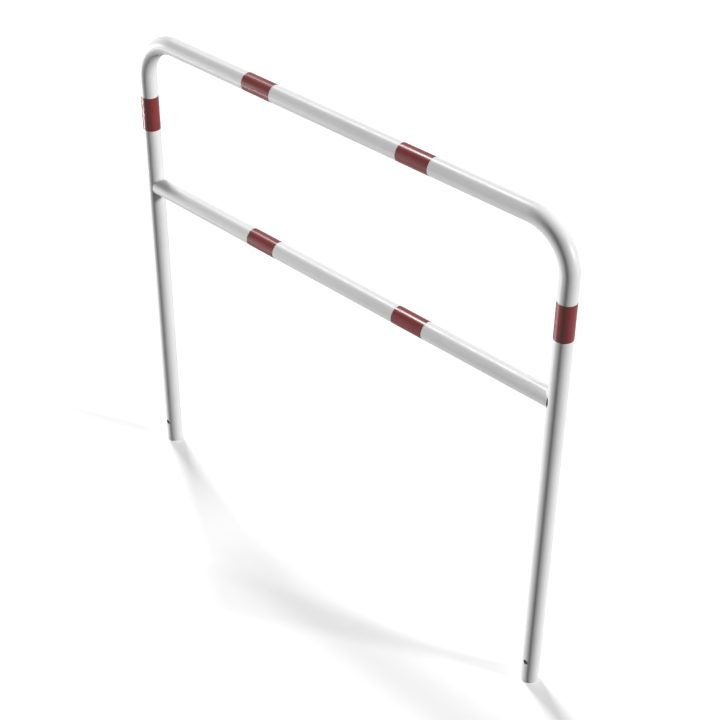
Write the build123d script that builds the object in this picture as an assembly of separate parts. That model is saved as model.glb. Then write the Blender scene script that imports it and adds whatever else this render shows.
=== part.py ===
from build123d import *
from math import acos, degrees, sqrt
import os

# Steel barrier hoop: one bent tube, a welded crossbar and six wrapped bands of red film.
# Sizes are in millimetres. The hoop stands in the XZ plane, X to the right, front towards -Y.
# The origin lies midway between the two leg ends, at their level.

# Hoop tube
hoop_width = 1500.0  # over the outer sides of the legs
hoop_height = 1400.0  # from the leg ends to the top of the rail
tube_diameter = 48.3
tube_wall = 2.6
bend_radius = 120.0  # of the tube's axis
foot_chamfer = 0.8  # deburred outer edge of each leg end

# Anchor hole through each leg, front to back
anchor_hole_diameter = 14.0
anchor_hole_height = 72.0

# Crossbar, cut from the same tube
crossbar_height = 917.0  # of its axis
ear_setback = 13.5  # from the leg's axis to the blunt ears of the saddle cut
vent_hole_diameter = 12.0  # in the leg wall inside each joint

# Weld beads on the top and the bottom of each saddle
weld_size = 3.0  # from the corner to a bead's edge on either tube
weld_stop = 4.0  # bare length of seam between a bead's end and the ear

# Bands of red film
band_length = 100.0
rail_band_spacing = 533.3  # between the middles of a rail's two bands
leg_band_gap = 59.4  # straight tube between a leg's band and the bend above it
film_thickness = 0.35
adhesive_thickness = 0.15  # between the tube and the film
film_lap = 12.0  # the strip's end over its start, at the rear

# Worked out from the sizes above
tube_radius = tube_diameter / 2
bore_radius = tube_radius - tube_wall
leg_x = hoop_width / 2 - tube_radius
rail_z = hoop_height - tube_radius
leg_band_z = rail_z - bend_radius - leg_band_gap - band_length / 2
rail_band_x = rail_band_spacing / 2

LEFT = -1
RIGHT = 1
UP = 1
DOWN = -1
REAR = (0, 1, 0)
UPRIGHT = (0, 0, 1)
LEVEL = (1, 0, 0)


def rod(start, end, radius, seam_side=REAR):
    """A solid round bar between two points, with its surface's seam line on the side given."""
    run = Vector(*end) - Vector(*start)
    return Plane(origin=start, x_dir=seam_side, z_dir=run) * extrude(Circle(radius), run.length)


def leg_rod(side):
    """The leg's outer cylinder, filled, over the height of the crossbar joint."""
    joint_reach = 2 * tube_diameter
    low = (side * leg_x, 0, crossbar_height - joint_reach)
    high = (side * leg_x, 0, crossbar_height + joint_reach)
    return rod(low, high, tube_radius)


def crossbar_rod(radius, half_length):
    """A bar along the crossbar's axis, centred on the hoop."""
    left_end = (-half_length, 0, crossbar_height)
    right_end = (half_length, 0, crossbar_height)
    return rod(left_end, right_end, radius)


def bent_hoop():
    """The legs, bends and top rail in one length of tube, with open ends and drilled holes."""
    axis_line = FilletPolyline(
        (LEFT * leg_x, 0, 0),
        (LEFT * leg_x, 0, rail_z),
        (RIGHT * leg_x, 0, rail_z),
        (RIGHT * leg_x, 0, 0),
        radius=bend_radius,
    )
    wall_section = Circle(tube_radius) - Circle(bore_radius)
    hoop = sweep(Plane(origin=axis_line @ 0, z_dir=axis_line % 0) * wall_section, path=axis_line)

    foot_edges = hoop.edges().filter_by(GeomType.CIRCLE).group_by(Axis.Z)[0]
    outer_edges = foot_edges.group_by(SortBy.RADIUS)[-1]
    hoop = chamfer(outer_edges, foot_chamfer)

    for side in (LEFT, RIGHT):
        front = (side * leg_x, -tube_diameter, anchor_hole_height)
        back = (side * leg_x, tube_diameter, anchor_hole_height)
        hoop -= rod(front, back, anchor_hole_diameter / 2, seam_side=UPRIGHT)
        inner_side = (side * (leg_x - tube_diameter), 0, crossbar_height)
        leg_middle = (side * leg_x, 0, crossbar_height)
        hoop -= rod(inner_side, leg_middle, vent_hole_diameter / 2)
    return hoop


def notched_crossbar():
    """A straight tube whose ends are saddle cut to the legs, the thin ears trimmed blunt."""
    half_length = leg_x - ear_setback
    bar = crossbar_rod(tube_radius, half_length) - crossbar_rod(bore_radius, half_length)
    return bar - leg_rod(LEFT) - leg_rod(RIGHT)


def weld_bead(side, vertical):
    """A fillet weld in the corner over or under one saddle, stopping short of the ears.

    Two round tubes of one diameter meet square along half an ellipse in a plane at 45 degrees.
    The bead's face is that ellipse, grown by the throat and run straight across the plane.
    """
    seam_plane = Plane(
        origin=(side * leg_x, 0, crossbar_height),
        x_dir=(-side, 0, vertical),
        z_dir=(-vertical, 0, -side),
    )
    seam_length = sqrt(2) * tube_radius
    throat = weld_size / sqrt(2)
    ear_angle = degrees(acos(ear_setback / tube_radius))
    bead_angle = ear_angle - degrees(weld_stop / tube_radius)

    def seam_arc(growth):
        return EllipticalCenterArc(
            (0, 0), seam_length + growth, tube_radius + growth, -bead_angle, arc_size=2 * bead_angle
        )

    face_arc = seam_arc(throat)
    root_arc = seam_arc(-weld_size)
    ends = [Line(root_arc @ 0, face_arc @ 0), Line(root_arc @ 1, face_arc @ 1)]
    section = make_face([face_arc, root_arc, *ends])
    bead = extrude(seam_plane.offset(-tube_radius) * section, tube_diameter)
    return bead - leg_rod(side) - crossbar_rod(tube_radius, leg_x)


def film_strip(inner_radius, angle):
    """Film bent round the local Z axis, its middle at local X."""
    cross_section = Pos(inner_radius + film_thickness / 2, 0) * Rectangle(film_thickness, band_length)
    return Rot(Z=-angle / 2) * revolve(Plane.XZ * cross_section, Axis.Z, angle)


def film_band(middle, tube_direction):
    """One turn of film glued on the tube, its end lapped over its start at the rear."""
    film_radius = tube_radius + adhesive_thickness
    lap_radius = film_radius + film_thickness
    band = film_strip(film_radius, 360) + film_strip(lap_radius, degrees(film_lap / lap_radius))
    return Plane(origin=middle, x_dir=REAR, z_dir=tube_direction) * band


nodes = {
    "hoop_tube": bent_hoop(),
    "crossbar_tube": notched_crossbar(),
    "left_upper_weld": weld_bead(LEFT, UP),
    "left_lower_weld": weld_bead(LEFT, DOWN),
    "right_upper_weld": weld_bead(RIGHT, UP),
    "right_lower_weld": weld_bead(RIGHT, DOWN),
    "left_leg_band": film_band((LEFT * leg_x, 0, leg_band_z), UPRIGHT),
    "right_leg_band": film_band((RIGHT * leg_x, 0, leg_band_z), UPRIGHT),
    "top_rail_left_band": film_band((LEFT * rail_band_x, 0, rail_z), LEVEL),
    "top_rail_right_band": film_band((RIGHT * rail_band_x, 0, rail_z), LEVEL),
    "crossbar_left_band": film_band((LEFT * rail_band_x, 0, crossbar_height), LEVEL),
    "crossbar_right_band": film_band((RIGHT * rail_band_x, 0, crossbar_height), LEVEL),
}

os.makedirs("parts", exist_ok=True)
for name, piece in nodes.items():
    export_step(piece, f"parts/{name}.step")
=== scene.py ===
from math import acos, cos, pi, radians, sin, sqrt

import bmesh
import bpy
from mathutils import Matrix, Vector


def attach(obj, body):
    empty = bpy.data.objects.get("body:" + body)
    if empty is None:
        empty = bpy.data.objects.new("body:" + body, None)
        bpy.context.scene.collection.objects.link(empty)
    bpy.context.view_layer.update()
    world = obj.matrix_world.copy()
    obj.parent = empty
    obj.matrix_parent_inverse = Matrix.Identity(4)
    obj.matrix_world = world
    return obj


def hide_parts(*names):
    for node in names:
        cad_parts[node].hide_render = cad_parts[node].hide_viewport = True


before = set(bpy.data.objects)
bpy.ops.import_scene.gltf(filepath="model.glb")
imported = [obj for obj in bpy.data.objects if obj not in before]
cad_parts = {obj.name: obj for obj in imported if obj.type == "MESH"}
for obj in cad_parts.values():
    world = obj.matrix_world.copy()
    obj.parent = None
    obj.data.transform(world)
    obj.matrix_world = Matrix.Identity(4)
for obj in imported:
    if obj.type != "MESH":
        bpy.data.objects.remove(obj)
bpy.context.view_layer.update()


# Hoop: one length of 48.3 mm round steel tube, bent cold into an upside-down U.
# The leg ends are sawn square and deburred, and an anchor hole is drilled through each leg.
# The tube is zinc dipped inside and out, then powder coated white on the outside.
tube_radius = 0.02415
tube_wall = 0.0026
tube_sides = 96
leg_x = 0.72585
rail_z = 1.37585
bend_radius = 0.120
bend_steps = 32
bend_z = rail_z - bend_radius
rail_half = leg_x - bend_radius
leg_rows = [0.050, 0.060, 0.084, 0.094, 0.400, 0.885, 0.903, 0.931, 0.949, bend_z]
foot_round = 0.0008
anchor_hole_z = 0.072
anchor_hole_radius = 0.007
anchor_hole_sides = 64
crossbar_z = 0.917
vent_hole_radius = 0.006
vent_hole_sides = 48
hole_round = 0.0005
sharp_angle = radians(40)
smooth_angle = radians(35)
front_to_back = (pi / 2, 0, 0)
side_to_side = (0, pi / 2, 0)


def deselect_all():
    """Leave edit mode and let go of every object."""
    if bpy.context.object and bpy.context.object.mode != "OBJECT":
        bpy.ops.object.mode_set(mode="OBJECT")
    bpy.ops.object.select_all(action="DESELECT")


def hold(piece):
    """Select this piece alone and make it the active one."""
    deselect_all()
    bpy.context.view_layer.objects.active = piece
    piece.select_set(True)


def tube_ring(name, centre, turn=(0, 0, 0)):
    """A ring of the tube's outer size, open in edit mode and ready to be pulled."""
    deselect_all()
    bpy.ops.mesh.primitive_circle_add(
        vertices=tube_sides, radius=tube_radius, location=centre, rotation=turn
    )
    ring = bpy.context.object
    ring.name = name
    bpy.ops.object.transform_apply(location=True, rotation=True, scale=True)
    bpy.ops.object.mode_set(mode="EDIT")
    bpy.ops.mesh.select_all(action="SELECT")
    return ring


def pull(x, y, z):
    """In edit mode, extrude what is selected by this much."""
    bpy.ops.mesh.extrude_region_move(TRANSFORM_OT_translate={"value": (x, y, z)})


def face_outwards():
    """Turn all the faces of the piece in edit mode outwards, and leave edit mode."""
    bpy.ops.mesh.select_all(action="SELECT")
    bpy.ops.mesh.normals_make_consistent(inside=False)
    bpy.ops.object.mode_set(mode="OBJECT")


def apply_modifier(piece, kind, **settings):
    """Add a modifier with these settings and apply it."""
    hold(piece)
    modifier = piece.modifiers.new(kind.lower(), kind)
    for name, value in settings.items():
        setattr(modifier, name, value)
    bpy.ops.object.modifier_apply(modifier=modifier.name)


def give_wall(piece):
    """Thicken the skin of a tube inwards, with the second finish in its bore."""
    apply_modifier(
        piece, "SOLIDIFY", thickness=tube_wall, offset=-1, use_even_offset=True,
        material_offset=1, material_offset_rim=0,
    )


def round_bar(centre, radius, length, sides, turn=(0, 0, 0)):
    """A solid round bar along Z, turned and set down at its centre, to cut with."""
    deselect_all()
    bpy.ops.mesh.primitive_cylinder_add(
        vertices=sides, radius=radius, depth=length, location=centre, rotation=turn
    )
    bpy.ops.object.transform_apply(location=True, rotation=True, scale=True)
    return bpy.context.object


def cut_away(piece, cutter):
    """Cut the cutter's shape out of the piece, and throw the cutter away."""
    apply_modifier(piece, "BOOLEAN", operation="DIFFERENCE", solver="EXACT", object=cutter)
    bpy.data.objects.remove(cutter, do_unlink=True)


def round_edges(piece, test, size, segments):
    """In edit mode, round off the sharp edges that pass the test."""
    bpy.context.tool_settings.mesh_select_mode = (False, True, False)
    bpy.ops.mesh.select_all(action="DESELECT")
    shape = bmesh.from_edit_mesh(piece.data)
    for edge in shape.edges:
        if test(edge) and edge.calc_face_angle(0) > sharp_angle:
            edge.select_set(True)
    shape.select_flush_mode()
    bmesh.update_edit_mesh(piece.data)
    bpy.ops.mesh.bevel(offset=size, segments=segments, affect="EDGES")


def smooth_finish(piece, angle):
    """Smooth shading up to this angle, with the large faces setting the normals."""
    hold(piece)
    bpy.ops.object.shade_smooth_by_angle(angle=angle)
    apply_modifier(piece, "WEIGHTED_NORMAL", keep_sharp=True, weight=100)


hoop = tube_ring("bent_hoop", (-leg_x, 0, 0))
height = 0
for row in leg_rows:
    pull(0, 0, row - height)
    height = row
for bend_x in (-rail_half, rail_half):
    bpy.ops.mesh.spin(
        steps=bend_steps, angle=-pi / 2, center=(bend_x, 0, bend_z), axis=(0, 1, 0)
    )
    if bend_x < 0:
        pull(2 * rail_half, 0, 0)
for row in reversed([0] + leg_rows[:-1]):
    pull(0, 0, row - height)
    height = row
bpy.ops.mesh.select_all(action="SELECT")
bpy.ops.mesh.remove_doubles(threshold=1e-6)
face_outwards()
give_wall(hoop)
for side in (-1, 1):
    anchor_hole = round_bar(
        (side * leg_x, 0, anchor_hole_z), anchor_hole_radius, 3 * tube_radius,
        anchor_hole_sides, front_to_back,
    )
    cut_away(hoop, anchor_hole)
    vent_hole = round_bar(
        (side * (leg_x - tube_radius), 0, crossbar_z), vent_hole_radius, tube_radius,
        vent_hole_sides, side_to_side,
    )
    cut_away(hoop, vent_hole)


def on_anchor_hole(edge):
    """Whether this edge lies on the wall of an anchor hole, within a tenth of a millimetre."""
    reach = [sqrt((abs(v.co.x) - leg_x) ** 2 + (v.co.z - anchor_hole_z) ** 2) for v in edge.verts]
    return all(abs(r - anchor_hole_radius) < 0.0001 for r in reach)


def on_foot(edge):
    """Whether this edge lies on a leg's sawn end, within a hundredth of a millimetre."""
    return all(abs(v.co.z) < 0.00001 for v in edge.verts)


bpy.ops.object.mode_set(mode="EDIT")
round_edges(hoop, on_anchor_hole, hole_round, 3)
round_edges(hoop, on_foot, foot_round, 3)
smooth_finish(hoop, smooth_angle)

coat_white = (0.80, 0.80, 0.80, 1)
coat_white_thin = (0.84, 0.84, 0.845, 1)
coat_ior = 1.45
zinc_grey = (0.56, 0.57, 0.58, 1)
zinc_pale = (0.66, 0.67, 0.68, 1)
zinc_rubbed_roughness = 0.50
foot_wear = 0.0035
hole_wear = 0.0012


def feed(tree, made, inputs):
    """Give a node's inputs their values, or link them where a socket is given."""
    for name, value in inputs.items():
        if isinstance(value, bpy.types.NodeSocket):
            tree.links.new(value, made.inputs[name])
        else:
            made.inputs[name].default_value = value


def add_node(tree, kind, inputs, **settings):
    """One shader node with its settings and its inputs."""
    made = tree.nodes.new(kind)
    for name, value in settings.items():
        setattr(made, name, value)
    feed(tree, made, inputs)
    return made


def new_finish(name):
    """A new material, its node tree, its shader and the place on the surface."""
    finish = bpy.data.materials.new(name)
    finish.use_nodes = True
    tree = finish.node_tree
    place = add_node(tree, "ShaderNodeTexCoord", {}).outputs["Object"]
    return finish, tree, tree.nodes["Principled BSDF"], place


def noise(tree, place, scale, detail=2.0):
    """Noise with this many swells to the metre."""
    sockets = {"Vector": place, "Scale": scale, "Detail": detail}
    return add_node(tree, "ShaderNodeTexNoise", sockets).outputs["Fac"]


def ramp(tree, value, from_low, from_high, to_low, to_high):
    """The value, moved smoothly from one range to another and held there."""
    sockets = {
        "Value": value, "From Min": from_low, "From Max": from_high,
        "To Min": to_low, "To Max": to_high,
    }
    made = add_node(tree, "ShaderNodeMapRange", sockets, interpolation_type="SMOOTHSTEP")
    return made.outputs["Result"]


def stretched(tree, value, low=0.0, high=1.0):
    """The middle of a noise's range, stretched to this range."""
    return ramp(tree, value, 0.3, 0.7, low, high)


def reckon(tree, kind, first, second=0.0):
    """Two values put together, such as by ADD or MULTIPLY."""
    return add_node(tree, "ShaderNodeMath", {0: first, 1: second}, operation=kind).outputs["Value"]


def mix_colour(tree, share, first, second):
    """A colour between two."""
    made = add_node(tree, "ShaderNodeMix", {0: share, 6: first, 7: second}, data_type="RGBA")
    return made.outputs[2]


def mix_value(tree, share, first, second):
    """A value between two."""
    made = add_node(tree, "ShaderNodeMix", {0: share, 2: first, 3: second}, data_type="FLOAT")
    return made.outputs[0]


def bumps(tree, height, strength, depth):
    """The surface's direction, roughened by this height."""
    sockets = {"Strength": strength, "Distance": depth, "Height": height}
    return add_node(tree, "ShaderNodeBump", sockets).outputs["Normal"]


def powder_coat(name, edge_of=None):
    """White powder coat, rubbed through to the zinc where edge_of(tree, place) comes near 1."""
    finish, tree, shader, place = new_finish(name)
    cloud = stretched(tree, noise(tree, place, scale=5.0, detail=3.0))
    colour = mix_colour(tree, cloud, coat_white, coat_white_thin)
    roughness = stretched(tree, noise(tree, place, scale=38.0, detail=3.0), low=0.36, high=0.44)
    peel = noise(tree, place, scale=520.0, detail=1.0)
    if edge_of:
        patch = reckon(tree, "MULTIPLY", noise(tree, place, scale=420.0, detail=4.0), 0.6)
        rubbed = ramp(tree, reckon(tree, "ADD", patch, edge_of(tree, place)), 0.74, 0.82, 0.0, 1.0)
        zinc = mix_colour(tree, noise(tree, place, scale=900.0, detail=3.0), zinc_grey, zinc_pale)
        colour = mix_colour(tree, rubbed, colour, zinc)
        roughness = mix_value(tree, rubbed, roughness, zinc_rubbed_roughness)
        peel = reckon(tree, "SUBTRACT", peel, reckon(tree, "MULTIPLY", rubbed, 1.5))
        feed(tree, shader, {"Metallic": reckon(tree, "MULTIPLY", rubbed, 0.7)})
    feed(tree, shader, {
        "Base Color": colour,
        "Roughness": roughness,
        "Normal": bumps(tree, peel, strength=0.5, depth=0.00003),
        "IOR": coat_ior,
    })
    return finish


def leg_edges(tree, place):
    """Above 0.5 at the leg ends and at the rims of the anchor holes, 0 elsewhere."""
    parts = add_node(tree, "ShaderNodeSeparateXYZ", {"Vector": place})
    foot = ramp(tree, parts.outputs["Z"], 0.0, foot_wear, 0.6, 0.0)
    off_axis = reckon(tree, "SUBTRACT", reckon(tree, "ABSOLUTE", parts.outputs["X"]), leg_x)
    off_hole = reckon(tree, "SUBTRACT", parts.outputs["Z"], anchor_hole_z)
    squares = [reckon(tree, "MULTIPLY", off, off) for off in (off_axis, off_hole)]
    reach = reckon(tree, "SQRT", reckon(tree, "ADD", *squares))
    rim = ramp(tree, reach, anchor_hole_radius, anchor_hole_radius + hole_wear, 0.55, 0.0)
    return reckon(tree, "MAXIMUM", foot, rim)


def zinc_bore(name):
    """The dipped zinc inside the tube, dull and spangled."""
    finish, tree, shader, place = new_finish(name)
    spangle = add_node(tree, "ShaderNodeTexVoronoi", {"Vector": place, "Scale": 180.0})
    grey = add_node(tree, "ShaderNodeRGBToBW", {"Color": spangle.outputs["Color"]}).outputs["Val"]
    runs = noise(tree, place, scale=120.0)
    feed(tree, shader, {
        "Base Color": mix_colour(tree, grey, zinc_grey, zinc_pale),
        "Roughness": ramp(tree, grey, 0.2, 0.8, 0.38, 0.55),
        "Normal": bumps(tree, runs, strength=0.4, depth=0.0001),
        "Metallic": 0.3,
    })
    return finish


bore_finish = zinc_bore("zinc_bore")
hoop.data.materials.append(powder_coat("white_coat_hoop", leg_edges))
hoop.data.materials.append(bore_finish)
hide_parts("hoop_tube")
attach(hoop, "root")


# Crossbar: a straight piece of the same tube between the legs, saddle cut to fit against them.
# The thin ears of each saddle are trimmed blunt, which leaves a small dark gap in front and behind.
# It is welded on and coated together with the hoop.
ear_setback = 0.0135
ear_round = 0.0003
bar_half = leg_x - ear_setback
bar_end = 0.030
cutter_length = 0.2

crossbar = tube_ring("crossbar", (-bar_half, 0, crossbar_z), side_to_side)
for step in (bar_end, 2 * (bar_half - bar_end), bar_end):
    pull(step, 0, 0)
face_outwards()
give_wall(crossbar)
for side in (-1, 1):
    cut_away(crossbar, round_bar((side * leg_x, 0, crossbar_z), tube_radius, cutter_length, tube_sides))


def on_ear(edge):
    """Whether this edge lies on a blunt ear, within a hundredth of a millimetre."""
    return all(abs(abs(v.co.x) - bar_half) < 0.00001 for v in edge.verts)


bpy.ops.object.mode_set(mode="EDIT")
round_edges(crossbar, on_ear, ear_round, 2)
smooth_finish(crossbar, smooth_angle)
crossbar.data.materials.append(powder_coat("white_coat"))
crossbar.data.materials.append(bore_finish)
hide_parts("crossbar_tube")
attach(crossbar, "root")


# Weld beads: a short fillet run over and under each end of the crossbar, laid in overlapping ripples.
# Each stops short of the trimmed ears. The coat covers the steel bead and softens its ripples.
weld_stop = 0.004
bead_angle = acos(ear_setback / tube_radius) - weld_stop / tube_radius
bead_grain = 0.00025
ripple_count = 29
ripple_half_length = 0.0013
ripple_half_width = 0.0042
ripple_half_height = 0.0027
ripple_sink = 0.0004
ripple_tilt = radians(24)
end_taper = 0.25
end_taper_power = 6


def set_down(master, name, move):
    """A copy of the master piece under its own name, moved into place."""
    piece = master.copy()
    piece.data = master.data.copy()
    piece.name = name
    piece.data.transform(move)
    bpy.context.scene.collection.objects.link(piece)
    return piece


def seam_frame(angle):
    """Where the right upper seam runs at this angle: along it, across it, and out of the corner."""
    corner = Vector((
        leg_x - tube_radius * cos(angle),
        tube_radius * sin(angle),
        crossbar_z + tube_radius * cos(angle),
    ))
    along = Vector((sin(angle), cos(angle), -sin(angle))).normalized()
    out = Vector((-cos(angle), 2 * sin(angle), cos(angle))).normalized()
    return corner, along, out.cross(along).normalized(), out


deselect_all()
bpy.ops.mesh.primitive_uv_sphere_add(segments=24, ring_count=12, radius=1)
ripple = bpy.context.object
ripples = []
for number in range(ripple_count):
    run = 2 * number / (ripple_count - 1) - 1
    corner, along, across, out = seam_frame(bead_angle * run)
    taper = 1 - end_taper * abs(run) ** end_taper_power
    half_sizes = (ripple_half_length, ripple_half_width * taper, ripple_half_height * taper, 1)
    sized = Matrix.Diagonal(half_sizes)
    tilted = Matrix.Rotation(ripple_tilt, 4, "Y")
    turned = Matrix((along, across, out)).transposed().to_4x4()
    moved = Matrix.Translation(corner - ripple_sink * out)
    ripples.append(set_down(ripple, "weld_ripple", moved @ turned @ tilted @ sized))
bpy.data.objects.remove(ripple, do_unlink=True)
deselect_all()
for ripple in ripples:
    ripple.select_set(True)
bead = ripples[0]
bpy.context.view_layer.objects.active = bead
bpy.ops.object.join()
apply_modifier(bead, "REMESH", mode="VOXEL", voxel_size=bead_grain)
apply_modifier(bead, "SMOOTH", factor=0.5, iterations=3)
leg_cutter = round_bar((leg_x, 0, crossbar_z), tube_radius, cutter_length, tube_sides)
cut_away(bead, leg_cutter)
bar_cutter = round_bar(
    (leg_x - cutter_length / 2, 0, crossbar_z), tube_radius, cutter_length, tube_sides, side_to_side
)
cut_away(bead, bar_cutter)
hold(bead)
bpy.ops.object.shade_smooth_by_angle(angle=sharp_angle)
bead.data.materials.append(powder_coat("white_coat_weld"))

half_turn = {
    "right_upper": Matrix.Identity(4),
    "left_upper": Matrix.Rotation(pi, 4, "Z"),
    "right_lower": Matrix.Rotation(pi, 4, "X"),
    "left_lower": Matrix.Rotation(pi, 4, "Y"),
}
to_bar = Matrix.Translation((0, 0, crossbar_z))
for joint, turn in half_turn.items():
    weld = set_down(bead, "weld_" + joint, to_bar @ turn @ to_bar.inverted())
    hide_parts(joint + "_weld")
    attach(weld, "root")
bpy.data.objects.remove(bead, do_unlink=True)


# Bands: strips of red reflective film with an adhesive back, 100 mm wide, rolled once round the tube.
# The strip's end has rounded corners and laps over its start at the rear.
band_width = 0.100
film_lift = 0.00002
film_thickness = 0.00040
film_lap = 0.012
lap_lead = 0.004
lap_climb = 0.0035
film_corner = 0.004
film_edge_round = 0.00010
film_step = 0.0012
leg_band_z = 1.14645
rail_band_x = 0.26665
film_inner = tube_radius + film_lift
film_middle = film_inner + film_thickness / 2
film_turn = 2 * pi * film_middle
strip_length = film_turn + film_lap

deselect_all()
bpy.ops.mesh.primitive_plane_add(size=1, location=(strip_length / 2, 0, 0))
film = bpy.context.object
film.scale = (strip_length, band_width, 1)
bpy.ops.object.transform_apply(location=True, rotation=True, scale=True)
bpy.ops.object.mode_set(mode="EDIT")
bpy.ops.mesh.select_all(action="SELECT")
bpy.ops.mesh.bevel(offset=film_corner, segments=8, affect="VERTICES")
cuts = int(strip_length / film_step)
for number in range(1, cuts):
    bpy.ops.mesh.select_all(action="SELECT")
    bpy.ops.mesh.bisect(plane_co=(strip_length * number / cuts, 0, 0), plane_no=(1, 0, 0))
bpy.ops.mesh.select_all(action="SELECT")
bpy.ops.mesh.remove_doubles(threshold=1e-5)
face_outwards()
strip_map = film.data.uv_layers[0].data
for loop in film.data.loops:
    flat = film.data.vertices[loop.vertex_index].co
    strip_map[loop.index].uv = (flat.x / band_width, flat.y / band_width + 0.5)
apply_modifier(film, "SOLIDIFY", thickness=film_thickness, offset=1)
apply_modifier(
    film, "BEVEL", width=film_edge_round, segments=2, limit_method="ANGLE", angle_limit=radians(60)
)


def rolled(flat):
    """A point of the flat strip, rolled round the Z axis with the lap in the middle of the rear."""
    climb = min(max((flat.x - film_turn + lap_lead) / lap_climb, 0), 1)
    radius = film_inner + flat.z + (film_thickness + film_lift) * climb * climb * (3 - 2 * climb)
    angle = pi / 2 + (flat.x - film_lap / 2) / film_middle
    return Vector((radius * cos(angle), radius * sin(angle), flat.y))


for vertex in film.data.vertices:
    vertex.co = rolled(vertex.co)
hold(film)
bpy.ops.object.mode_set(mode="EDIT")
face_outwards()
smooth_finish(film, smooth_angle)

film_red = (0.27, 0.018, 0.018, 1)
film_red_deep = (0.13, 0.008, 0.008, 1)
# The colour of the painted glint in the middle of each glass bead.
film_painted_glint = (0.50, 0.10, 0.095, 1)
# The colour that the band is darkened towards along its edges.
film_edge_dark = (0.12, 0.04, 0.036, 1)
film_ior = 1.52
line_stretch = (18.0, 0.7, 1.0)
line_share = 0.75
beads_to_the_metre = 2600.0
edge_dark_start = 0.475
edge_dark_depth = 0.65


def red_film(name):
    """Red reflective film: a clear face with fine drawn lines along the tube, over glass beads in red,
    each with a painted glint.
    """
    finish, tree, shader, place = new_finish(name)
    on_strip = add_node(tree, "ShaderNodeUVMap", {}).outputs["UV"]
    across = add_node(tree, "ShaderNodeSeparateXYZ", {"Vector": on_strip}).outputs["Y"]
    along_tube = add_node(tree, "ShaderNodeMapping", {"Vector": on_strip, "Scale": line_stretch})
    lines = stretched(tree, noise(tree, along_tube.outputs["Vector"], scale=1.0, detail=4.0))
    cloud = stretched(tree, noise(tree, place, scale=30.0, detail=3.0))
    colour = mix_colour(tree, mix_value(tree, line_share, cloud, lines), film_red, film_red_deep)
    glass = add_node(tree, "ShaderNodeTexVoronoi", {"Vector": place, "Scale": beads_to_the_metre})
    beads = glass.outputs["Distance"]
    # A painted glint: each glass bead is a lighter red in its middle.
    colour = mix_colour(tree, ramp(tree, beads, 0.05, 0.6, 0.14, 0.0), colour, film_painted_glint)
    # The film is painted darker in a cloudy line along both edges of the band, over the last 2.5 mm.
    from_middle = reckon(tree, "ABSOLUTE", reckon(tree, "SUBTRACT", across, 0.5))
    edge_darkening = ramp(tree, from_middle, edge_dark_start, 0.5, 0.0, edge_dark_depth)
    colour = mix_colour(tree, reckon(tree, "MULTIPLY", edge_darkening, cloud), colour, film_edge_dark)
    line_swell = reckon(tree, "MULTIPLY", lines, 0.5)
    bead_swell = reckon(tree, "MULTIPLY", beads, 0.12)
    swell = reckon(tree, "ADD", line_swell, bead_swell)
    feed(tree, shader, {
        "Base Color": colour,
        "Roughness": mix_value(tree, lines, 0.27, 0.35),
        "Normal": bumps(tree, swell, strength=0.4, depth=0.00004),
        "IOR": film_ior,
    })
    return finish


film.data.materials.append(red_film("red_film"))
upright = Matrix.Identity(4)
level = Matrix.Rotation(pi / 2, 4, "Y")
band_places = {
    "left_leg_band": (upright, (-leg_x, 0, leg_band_z)),
    "right_leg_band": (upright, (leg_x, 0, leg_band_z)),
    "top_rail_left_band": (level, (-rail_band_x, 0, rail_z)),
    "top_rail_right_band": (level, (rail_band_x, 0, rail_z)),
    "crossbar_left_band": (level, (-rail_band_x, 0, crossbar_z)),
    "crossbar_right_band": (level, (rail_band_x, 0, crossbar_z)),
}
for node_name, (turn, centre) in band_places.items():
    band = set_down(film, node_name.replace("_band", "_film"), Matrix.Translation(centre) @ turn)
    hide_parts(node_name)
    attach(band, "root")
bpy.data.objects.remove(film, do_unlink=True)


# Studio: a white floor that keeps the hoop's shadow, four soft boxes far off, and the camera.
# The floor is like a translucent sheet, so that the two low boxes in front shine up through it.
# The right back box lights the legs' other side, and the upper box draws a line along the rails.
floor_size = 60
floor_bounce = (0.18, 0.18, 0.18, 1)
floor_paper = (0.8, 0.8, 0.8, 1)
floor_lift = 0.375
floor_near = 2.5
floor_far = 7.0
pure_white = (1, 1, 1, 1)
mirror_share = 0.6
air_bounce = 0.02

deselect_all()
bpy.ops.mesh.primitive_plane_add(size=floor_size, location=(0, 0, 0))
floor = bpy.context.object
floor.name = "floor"
floor.visible_shadow = False
floor_finish = bpy.data.materials.new("floor_white")
floor_finish.use_nodes = True
tree = floor_finish.node_tree
tree.nodes.remove(tree.nodes["Principled BSDF"])


def seen_directly(tree):
    """1 where the camera looks, less where a reflection looks, 0 for light that bounces."""
    path = add_node(tree, "ShaderNodeLightPath", {})
    mirrored = reckon(tree, "MULTIPLY", path.outputs["Is Glossy Ray"], mirror_share)
    seen = reckon(tree, "ADD", path.outputs["Is Camera Ray"], mirrored)
    sockets = {0: seen, 1: path.outputs["Is Transmission Ray"]}
    return add_node(tree, "ShaderNodeMath", sockets, operation="ADD", use_clamp=True).outputs["Value"]


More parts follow.
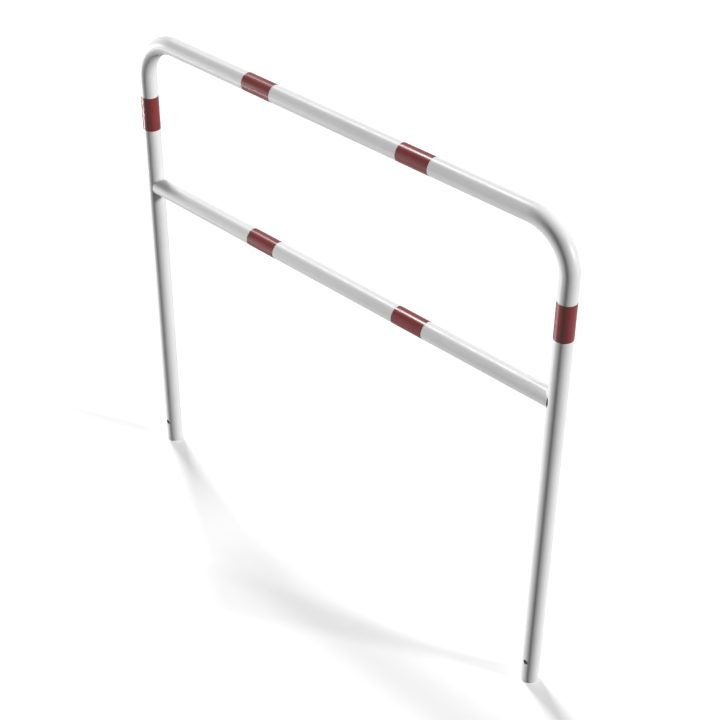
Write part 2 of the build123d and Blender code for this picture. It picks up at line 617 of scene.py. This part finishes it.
bounce = add_node(tree, "ShaderNodeBsdfDiffuse", {"Color": floor_bounce})
paper = add_node(tree, "ShaderNodeBsdfDiffuse", {"Color": floor_paper})
lift = add_node(tree, "ShaderNodeEmission", {"Color": pure_white, "Strength": floor_lift})
near = add_node(tree, "ShaderNodeAddShader", {0: paper.outputs[0], 1: lift.outputs[0]})
far = add_node(tree, "ShaderNodeEmission", {"Color": pure_white, "Strength": 1.0})
spot = add_node(tree, "ShaderNodeTexCoord", {}).outputs["Object"]
reach = add_node(tree, "ShaderNodeVectorMath", {0: spot}, operation="LENGTH").outputs["Value"]
far_off = ramp(tree, reach, floor_near, floor_far, 0.0, 1.0)
sheet = add_node(tree, "ShaderNodeMixShader", {0: far_off, 1: near.outputs[0], 2: far.outputs[0]})
both = add_node(
    tree, "ShaderNodeMixShader", {0: seen_directly(tree), 1: bounce.outputs[0], 2: sheet.outputs[0]}
)
feed(tree, tree.nodes["Material Output"], {"Surface": both.outputs[0]})
floor.data.materials.append(floor_finish)

room = bpy.data.worlds.new("room")
bpy.context.scene.world = room
room.use_nodes = True
tree = room.node_tree
feed(tree, tree.nodes["Background"], {
    "Color": pure_white,
    "Strength": ramp(tree, seen_directly(tree), 0.0, 1.0, air_bounce, 1.0),
})

lamp_aim = Vector((0, 0, 0.8))
white_share = 0.82


def soft_box(name, azimuth, elevation, distance, size, level):
    """A square lamp that faces the hoop from this side; azimuth 0 is in front, 90 at the right.

    At level 1 a white surface that faces the lamp is just white.
    """
    way = Vector((
        sin(radians(azimuth)) * cos(radians(elevation)),
        -cos(radians(azimuth)) * cos(radians(elevation)),
        sin(radians(elevation)),
    ))
    deselect_all()
    bpy.ops.object.light_add(type="AREA", location=lamp_aim + distance * way)
    lamp = bpy.context.object
    lamp.name = name
    lamp.rotation_euler = (-way).to_track_quat("-Z", "Y").to_euler()
    lamp.data.shape = "SQUARE"
    lamp.data.size = size
    lamp.data.energy = level * (pi * distance) ** 2 / white_share
    lamp.visible_camera = False


soft_box("left_front_box", azimuth=-64, elevation=-6, distance=28, size=3.2, level=0.69)
soft_box("low_front_box", azimuth=-62, elevation=-25, distance=28, size=3.2, level=0.27)
soft_box("right_back_box", azimuth=113, elevation=16, distance=36, size=6.0, level=0.83)
soft_box("upper_box", azimuth=-112, elevation=58, distance=22, size=3.6, level=0.64)

camera_place = (2.4276, -2.4276, 3.1276)
camera_aim = Vector((0, 0, 0.7))
deselect_all()
bpy.ops.object.camera_add(location=camera_place)
camera = bpy.context.object
camera.rotation_euler = (camera_aim - camera.location).to_track_quat("-Z", "Y").to_euler()
camera.data.sensor_width = 36
camera.data.lens = 78.81
camera.data.shift_x = 0.0331
camera.data.shift_y = -0.0138
bpy.context.scene.camera = camera
bpy.context.scene.view_settings.view_transform = "Standard"
